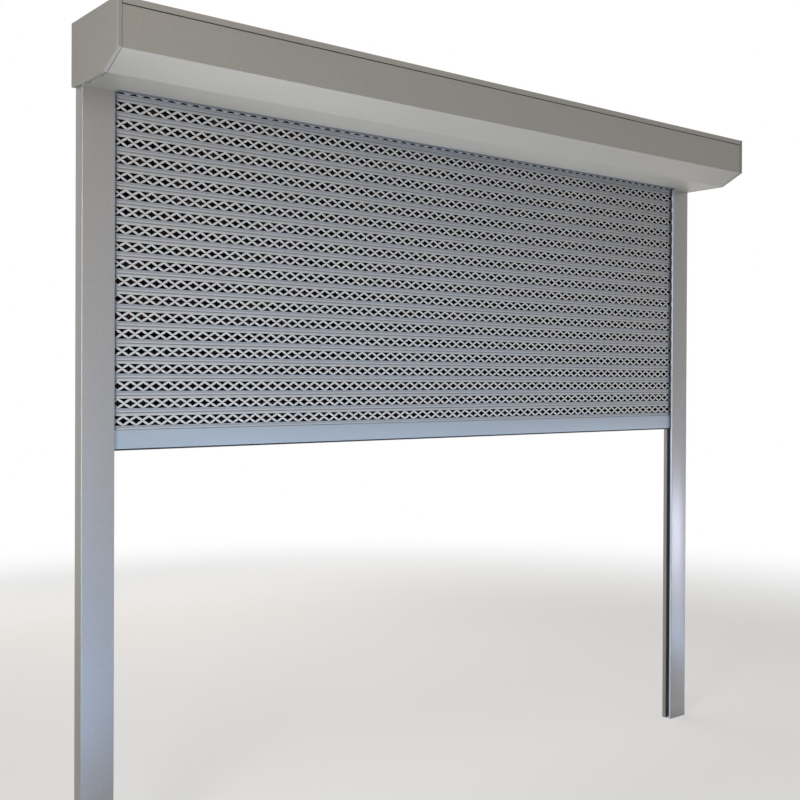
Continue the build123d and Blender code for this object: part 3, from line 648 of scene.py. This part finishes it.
def foldSheet(line, thick, bend, tightest=0.3):
    # closed section of a folded sheet: the outer line, rounded at each fold, and the line inside it
    points = [Vector(p) for p in line]
    count = len(points)
    outer, inner = shiftedLine(points, 0), shiftedLine(points, thick)
    around = [tuple(p) for p in outer] + [tuple(p) for p in reversed(inner)]
    radii = [bend] * count + [max(bend - thick, tightest)] * count
    ends = {0, count - 1, count, 2 * count - 1}
    rounded = []
    for i, point in enumerate(around):
        if i in ends:
            rounded.append(point)
            continue
        fold = [around[i - 1], point, around[(i + 1) % len(around)]]
        rounded += roundCorners(fold, radii[i], 4, sharp={0, 2})[1:-1]
    return rounded


# Box covers: folded sheet with real bend radii, between the end caps
coverLook = {"sheet": 1.5, "bend": 2.6, "lip": 20.0, "inset": 1.8, "face": 148.0, "chamfer": 103.0,
             "hem": 10.0, "slot": 71.0, "short": 2.0}
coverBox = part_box("front_cover")
boxLow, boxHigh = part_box("left_end_cap")
boxTop = boxHigh.z / mm
boxFront = boxLow.y / mm
soffit = coverBox[0].z / mm
faceY = boxFront + coverLook["inset"]
lipBottom = boxTop - coverLook["lip"]
coverEnds = (coverBox[0].x + coverLook["short"] * mm, coverBox[1].x - coverLook["short"] * mm)
frontLine = [(faceY, boxTop - coverLook["inset"]), (faceY, boxTop - coverLook["face"]),
             (boxFront + coverLook["chamfer"], soffit), (-coverLook["slot"], soffit),
             (-coverLook["slot"], soffit + coverLook["hem"])]
topLine = [(0.0, lipBottom), (0.0, boxTop), (boxFront, boxTop), (boxFront, lipBottom)]
covers = {"frontCoverSheet": (frontLine, "front_cover"), "topCoverSheet": (topLine, "top_cover")}
for name, (line, node) in covers.items():
    section = inMetres(foldSheet(line, coverLook["sheet"], coverLook["bend"]))
    cover = makePiece(name, *prism([section], coverEnds, alongX), coatedSheet, "frame", "coated_aluminium")
    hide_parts(node)
print("box covers made")

# Black strips round the front cover that paint shade: under the top cover's lip and against both caps, a
# hair below the sheet, they draw the dark shadow lines of the lip and the cap seams
shadeStripLook = {"high": 2.4, "wide": 2.0, "sunk": 0.25, "proud": 0.9, "edge": 0.5, "edgeIn": 0.2}
shadeStripLow = lipBottom - shadeStripLook["high"]
lipShadeStrip = [(faceY - shadeStripLook["proud"], shadeStripLow), (faceY - shadeStripLook["edgeIn"], shadeStripLow - shadeStripLook["edge"]),
           (faceY, shadeStripLow - shadeStripLook["edge"]), (faceY, lipBottom), (faceY - shadeStripLook["proud"], lipBottom)]
shadeStripParts = [prism([inMetres(lipShadeStrip)], coverEnds, alongX)]
sunkLine = [(u + shadeStripLook["sunk"], v + shadeStripLook["sunk"]) for u, v in frontLine[:4]]
capShadeStrip = inMetres(foldSheet(sunkLine, coverLook["sheet"] - 2 * shadeStripLook["sunk"], coverLook["bend"]))
for end, way in ((coverEnds[0], -1), (coverEnds[1], 1)):
    shadeStripParts.append(prism([capShadeStrip], (end, end + way * shadeStripLook["wide"] * mm), alongX))
makePiece("coverShadeStrips", *joinParts(shadeStripParts), blackRubber, "frame", "black_rubber")

# a tuft's root, tip and four sides, by its eight points
tuftFaces = [[0, 1, 2, 3], [4, 5, 6, 7], [0, 1, 5, 4], [1, 2, 6, 5], [2, 3, 7, 6], [3, 0, 4, 7]]

# Brush across the box's slot: a crimped holder on the soffit's hem, with tufts that end short of the slats
slotBrushLook = {"above": 3.0, "thick": 2.6, "holder": 7.0, "tip": 34.0, "spacing": 4.0, "end": 6.0,
                 "off": 0.1, "crimp": 0.8, "crimpOut": 0.6,      # gap to the hem, the holder's crimped edge
                 "rootHalf": 1.7, "tipHalf": 2.1, "sunk": 1.0, "thinner": 0.2,
                 "uneven": 1.6, "droop": 0.4}


def slotBrushParts():
    b = slotBrushLook
    draws = random.Random(5)
    half = clear - b["end"]
    low = soffit + b["above"]
    high = low + b["thick"]
    hemY = -coverLook["slot"] + b["off"]
    holderEnd = hemY + b["holder"]
    holder = [(hemY, low - b["crimp"]), (holderEnd, low - b["crimp"]), (holderEnd + b["crimpOut"], low),
              (holderEnd + b["crimpOut"], high), (holderEnd, high + b["crimp"]), (hemY, high + b["crimp"])]
    parts = [prism([inMetres(holder)], (-half * mm, half * mm), alongX)]
    under, over = b["thinner"], b["thick"] - b["thinner"]
    for number in range(int(2 * half / b["spacing"])):
        x = -half + (number + 0.5) * b["spacing"]
        tip = -b["tip"] - draws.uniform(0, b["uneven"])
        dip = draws.uniform(-b["droop"], b["droop"])
        verts = []
        for y, lift, wide in ((holderEnd - b["sunk"], 0, b["rootHalf"]), (tip, dip, b["tipHalf"])):
            for sx, rise in ((-1, under), (1, under), (1, over), (-1, over)):
                verts.append(((x + sx * wide) * mm, y * mm, (low + rise + lift) * mm))
        parts.append((verts, tuftFaces))
    return parts


makePiece("slotBrush", *joinParts(slotBrushParts()), brushPile, "frame", "brush_fibre")
print("seals made")

# Rail covers: the front halves, with eased corners that catch a light line
railLook = {"width": 110.0, "front": -47.0, "wall": 2.2, "length": 72.0, "gapFront": -37.0, "seat": 0.3,
            "ease": 4.0, "neckFrom": 4.5, "neck": 5.0,
            "highlightBand": 2.0, "facing": 0.75}           # depth of the painted highlight on the lip, how squarely it faces inward


def railSection():
    # outwards from the doorway's side: front face, outer wall, outer leg, inner leg, lip and clipped neck
    wide, wall, seat, front, gap = (railLook[key] for key in ("width", "wall", "seat", "front", "gapFront"))
    back = front + wall
    legOuter = wide - wall - seat
    legInner = railLook["length"] + wall + seat
    lip = railLook["length"] - seat
    lipBack = railLook["length"] - wall
    neckNear = railLook["neckFrom"]
    neckFar = railLook["neckFrom"] + railLook["neck"]
    return [
        (0, front), (wide, front), (wide, gap - seat), (legOuter + seat, gap - seat),
        (legOuter + seat, back), (legOuter, back), (legOuter, gap + 2 * wall),
        (legOuter - wall, gap + 2 * wall), (legOuter - wall, back),
        (legInner + wall, back), (legInner + wall, gap + wall), (legInner, gap + wall), (legInner, back),
        (lip, back), (lip, gap), (neckFar, gap), (neckFar, gap - wall),
        (lipBack, gap - wall), (lipBack, back), (wall, back), (wall, gap - wall),
        (neckNear, gap - wall), (neckNear, gap), (0, gap),
    ]


section = railSection()
easedRail = roundCorners(section, railLook["ease"], 4, sharp=set(range(2, len(section) - 1)))
for side, name in ((-1, "left"), (1, "right")):
    loop = [(side * (clear + u) * mm, v * mm) for u, v in easedRail]
    cover = makePiece(f"{name}RailFront", *prism([loop], (0.0, railTop), alongZ), coatedRail, "frame",
                      "coated_aluminium")
    # painted highlight: the lip's faces that face the doorway get the pale highlight coat
    cover.data.materials.append(lipHighlightCoat)
    for face in cover.data.polygons:
        atLip = abs(face.center.x) < (clear + railLook["highlightBand"]) * mm
        face.material_index = 1 if atLip and abs(face.normal.x) > railLook["facing"] else 0
    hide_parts(f"{name}_rail_cover")
print("rail fronts made")

# Brush seals: a backing strip in the groove and tufts of pile that lean a little each way
brushLook = {"from": 3.0, "width": 8.0, "heel": 1.1, "reach": 4.85, "spacing": 2.4, "tuft": 1.5,
             "rear": -18.0, "front": -37.0, "wall": 2.2, "off": 0.05,
             "lane": 1.15, "rootHalf": 0.9, "crownHalf": 0.75, "taper": 0.8,
             "lean": 0.9, "leanAcross": 0.3, "uneven": 0.9, "end": 0.4}


def pileTuft(x, z, heel, tip, lean):
    # one four-sided tuft from the backing to its tip, kept clear of the rail's two ends
    b = brushLook
    half = b["tuft"] / 2
    corners = ((-1, -1), (1, -1), (1, 1), (-1, 1))
    root = [(x + sx * b["rootHalf"], heel, z + sz * half) for sx, sz in corners]
    crown = [(x + sx * b["crownHalf"] + lean * b["leanAcross"], tip, z + sz * b["taper"] * half + lean)
             for sx, sz in corners]
    low, high = b["end"], railTop / mm - b["end"]
    return [(px * mm, py * mm, min(max(pz, low), high) * mm) for px, py, pz in root + crown], tuftFaces


def brushParts(side, draws):
    b = brushLook
    parts = []
    left, right = clear + b["from"], clear + b["from"] + b["width"]
    middle = side * (left + right) / 2
    for wallY, into in ((b["rear"], -1), (b["front"], 1)):
        heelBack = wallY - into * (b["wall"] + b["off"] + b["heel"])
        heelFront = heelBack + into * b["heel"]
        strip = [(side * left, heelBack), (side * right, heelBack), (side * right, heelFront),
                 (side * left, heelFront)]
        parts.append(prism([inMetres(strip)], (0.0, railTop), alongZ))
        for number in range(int(railTop / mm / b["spacing"])):
            z = (number + 0.5) * b["spacing"]
            for lane in (-1, 1):
                lean = draws.uniform(-b["lean"], b["lean"])
                tip = wallY + into * b["reach"] - into * draws.uniform(0, b["uneven"])
                parts.append(pileTuft(middle + lane * b["lane"], z, heelFront, tip, lean))
    return parts


pileDraws = random.Random(11)
for side, name in ((-1, "left"), (1, "right")):
    brush = makePiece(f"{name}BrushPile", *joinParts(brushParts(side, pileDraws)), brushPile, "frame",
                      "brush_fibre")
    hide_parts(f"{name}_brush_seals")
print("brush seals made")

# Pan-head screws under the soffit
screwLook = {"head": 4.0, "height": 1.6, "shank": 2.0, "shankHeight": 4.8, "sides": 24, "rings": 4,
             "dome": 0.8}                            # share of a quarter turn that the head's dome makes


def screwShape(x, y):
    # rings from the shank's top down to the domed head
    s = screwLook
    sides, rings = s["sides"], s["rings"]
    rows = [(s["shank"], soffit * mm + s["shankHeight"] * mm), (s["shank"], soffit * mm),
            (s["head"], soffit * mm)]
    for ring in range(1, rings + 1):
        lean = ring / rings * math.pi / 2 * s["dome"]
        rows.append((s["head"] * math.cos(lean), (soffit - s["height"] * math.sin(lean)) * mm))
    verts, faces = [], []
    for radius, z in rows:
        for k in range(sides):
            turn = 2 * math.pi * k / sides
            verts.append((x + radius * mm * math.cos(turn), y + radius * mm * math.sin(turn), z))
    for low in range(0, (len(rows) - 1) * sides, sides):
        high = low + sides
        for k in range(sides):
            n = (k + 1) % sides
            faces.append([low + k, low + n, high + n, high + k])
    faces.append(list(range(sides)))
    faces.append([(len(rows) - 1) * sides + k for k in range(sides)])
    return verts, faces


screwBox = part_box("cap_screws")
screwEdge = screwLook["head"] * mm
screwParts = [screwShape(x, y) for x in (screwBox[0].x + screwEdge, screwBox[1].x - screwEdge)
              for y in (screwBox[0].y + screwEdge, screwBox[1].y - screwEdge)]
screws = makePiece("panHeadScrews", *joinParts(screwParts), springSteel, "frame", "bright_steel")
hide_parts("cap_screws")
print("screws made")

# Dark card close behind the curtain: the unlit room that the openings look into, seen from the front only.
# A near-black surface with faint brown patches, as of things deep in the room.
cardLook = {"back": 21.5, "half": 1440.0, "rows": 60, "over": 10.0, "dark": "#070606", "light": "#2a1d1a",
            "patchMm": (34, 34, 34), "patchRange": (0.45, 0.75)}
cardTop = payoutHigh + cardLook["over"] * mm
cardHeights = [barTop * mm]
for row in range(cardLook["rows"] + 1):
    cardHeights.append(payoutLow + (cardTop - payoutLow) * (row / cardLook["rows"]))
cardVerts = [(side * cardLook["half"] * mm, -cardLook["back"] * mm, z)
             for z in cardHeights for side in (-1, 1)]
cardFaces = [[2 * row, 2 * row + 1, 2 * row + 3, 2 * row + 2] for row in range(cardLook["rows"] + 1)]
cardMesh = bpy.data.meshes.new("darkRoomCard")
cardMesh.from_pydata(cardVerts, [], cardFaces)
card = bpy.data.objects.new("darkRoomCard", cardMesh)
bpy.context.scene.collection.objects.link(card)
material, tree, place = startMaterial("unlitRoomCard")
patches = addNode(tree, "ShaderNodeTexNoise", {
    "Vector": stretched(tree, place, cardLook["patchMm"]), "Scale": 1.0, "Detail": 2.0})
depth = addNode(tree, "ShaderNodeMapRange", {
    "Value": patches.outputs["Fac"],
    "From Min": cardLook["patchRange"][0], "From Max": cardLook["patchRange"][1]})
glow = addNode(tree, "ShaderNodeEmission", {
    "Color": tinted(tree, depth.outputs[0], cardLook["dark"], cardLook["light"])})
nothing = addNode(tree, "ShaderNodeBsdfTransparent")
facing = addNode(tree, "ShaderNodeNewGeometry")
shown = addNode(tree, "ShaderNodeMixShader", {
    0: facing.outputs["Backfacing"], 1: glow.outputs[0], 2: nothing.outputs[0]})
addNode(tree, "ShaderNodeOutputMaterial", {"Surface": shown.outputs[0]})
cardMesh.materials.append(material)
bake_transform(card)
card.visible_shadow = card.visible_diffuse = card.visible_glossy = False


def anyRay(tree, *kinds):
    # 1 for every kind of ray that is named
    rays = addNode(tree, "ShaderNodeLightPath")
    found = rays.outputs[kinds[0]]
    for kind in kinds[1:]:
        either = addNode(tree, "ShaderNodeMath", {0: found, 1: rays.outputs[kind]}, operation="MAXIMUM")
        found = either.outputs[0]
    return found


# Floor: matt and pale, and fading to the white background with distance
floorLook = {"colour": "#f6f5f3", "size": 60.0, "fadeFrom": 3.0, "fadeTo": 7.0, "pale": 0.4}
bpy.ops.mesh.primitive_plane_add(size=floorLook["size"], location=(0, 0, 0))
floor = bpy.context.object
floor.name = "studioFloor"
material, tree, place = startMaterial("paleStudioFloor")
away = addNode(tree, "ShaderNodeVectorMath", {0: place}, operation="LENGTH")
fade = addNode(tree, "ShaderNodeMapRange", {
    "Value": away.outputs["Value"], "From Min": floorLook["fadeFrom"], "From Max": floorLook["fadeTo"],
    "To Min": floorLook["pale"]}, interpolation_type="SMOOTHSTEP")
matt = addNode(tree, "ShaderNodeBsdfDiffuse", {"Color": hexToLinear(floorLook["colour"])})
white = addNode(tree, "ShaderNodeEmission", {"Color": (1, 1, 1, 1), "Strength": 1.0})
mixed = addNode(tree, "ShaderNodeMixShader", {0: fade.outputs[0], 1: matt.outputs[0], 2: white.outputs[0]})
seen = anyRay(tree, "Is Camera Ray", "Is Glossy Ray")
shown = addNode(tree, "ShaderNodeMixShader", {0: seen, 1: matt.outputs[0], 2: mixed.outputs[0]})
addNode(tree, "ShaderNodeOutputMaterial", {"Surface": shown.outputs[0]})
floor.data.materials.append(material)

# World: white to look at and in reflections, and a weak fill light
worldLook = {"colour": (1.0, 0.99, 0.98, 1), "strength": 0.14}
world = bpy.data.worlds.new("paleStudio")
bpy.context.scene.world = world
world.use_nodes = True
tree = world.node_tree
tree.nodes.clear()
seen = anyRay(tree, "Is Camera Ray", "Is Transmission Ray", "Is Glossy Ray")
lit = addNode(tree, "ShaderNodeBackground", {
    "Color": worldLook["colour"], "Strength": worldLook["strength"]})
plain = addNode(tree, "ShaderNodeBackground", {"Color": (1, 1, 1, 1), "Strength": 1.0})
sky = addNode(tree, "ShaderNodeMixShader", {0: seen, 1: lit.outputs[0], 2: plain.outputs[0]})
addNode(tree, "ShaderNodeOutputWorld", {"Surface": sky.outputs[0]})

# Lamps, in metres, watts and degrees: a soft key from the left, bluish light from low in front that turns
# the rails and the bar cool, a glow from the floor under the box, and broad light from above and behind
lampLooks = {
    "leftKey": {"at": (-3.4, -1.9, 1.75), "aim": (-0.6, 0, 1.5), "size": (0.8, 2.2), "watts": 28,
                "colour": (1.02, 1.0, 0.96), "spread": 120},
    "lowBounce": {"at": (-0.5, -1.5, 0.06), "aim": (-0.3, -0.25, 2.5), "size": (3.4, 0.8), "watts": 15,
                  "colour": (0.48, 0.92, 1.70), "spread": 140},
    "upGlow": {"at": (0.15, -0.25, 0.03), "aim": (0.15, -0.25, 2.0), "size": (3.0, 0.45), "watts": 10,
               "colour": (0.95, 1.0, 1.06), "spread": 50},
    "coolLow": {"at": (-1.6, -3.2, 0.5), "aim": (-0.6, 0, 0.8), "size": (2.4, 0.9), "watts": 4.5,
                "colour": (0.32, 0.64, 1.25), "spread": 66},
    "rightLow": {"at": (4.2, -2.5, 0.35), "aim": (1.4, 0, 0.5), "size": (0.9, 0.6), "watts": 2.4,
                 "colour": (0.84, 0.92, 1.25), "spread": 60},
    "footKick": {"at": (2.45, -0.85, 0.1), "aim": (1.45, -0.05, 0.35), "size": (0.5, 0.15), "watts": 0.12,
                 "colour": (0.6, 0.9, 1.5), "spread": 70},
    "overhead": {"at": (0, -0.6, 5.6), "aim": (0, -0.4, 0), "size": (6.0, 5.0), "watts": 108,
                 "colour": (1.05, 1.0, 0.94), "spread": 180},
    "backWash": {"at": (0.5, 4.8, 2.4), "aim": (0, 0, 1.4), "size": (4.5, 2.4), "watts": 66,
                 "colour": (1.08, 1.0, 0.9), "spread": 180},
}
for name, look in lampLooks.items():
    lamp = bpy.data.lights.new(name, "AREA")
    lamp.shape = "RECTANGLE"
    lamp.size, lamp.size_y = look["size"]
    lamp.energy = look["watts"]
    lamp.color = look["colour"]
    lamp.spread = math.radians(look["spread"])
    holder = bpy.data.objects.new(name, lamp)
    holder.location = look["at"]
    holder.rotation_euler = (Vector(look["aim"]) - Vector(look["at"])).to_track_quat("-Z", "Y").to_euler()
    holder.visible_camera = False
    bpy.context.scene.collection.objects.link(holder)
print("stage and lamps made")

# Camera: eye height, left of the doorway, held a hair off level, with a small shift for the crop
cameraLook = {"at": (-2.851, -3.3024, 1.5938), "yaw": -38.641, "pitch": -0.353, "roll": 0.242,
              "lens": 49.698, "shiftY": -0.0173, "clipEnd": 200}
camera = bpy.data.objects.new("photoCamera", bpy.data.cameras.new("photoCamera"))
camera.location = cameraLook["at"]
upright = Euler((math.radians(90 + cameraLook["pitch"]), 0, math.radians(cameraLook["yaw"]))).to_matrix()
tilt = Matrix.Rotation(math.radians(cameraLook["roll"]), 3, "Z")
camera.rotation_euler = (upright @ tilt).to_euler()
camera.data.lens = cameraLook["lens"]
camera.data.shift_y = cameraLook["shiftY"]
camera.data.clip_end = cameraLook["clipEnd"]
bpy.context.scene.collection.objects.link(camera)
bpy.context.scene.camera = camera
bpy.context.scene.view_settings.view_transform = "Standard"
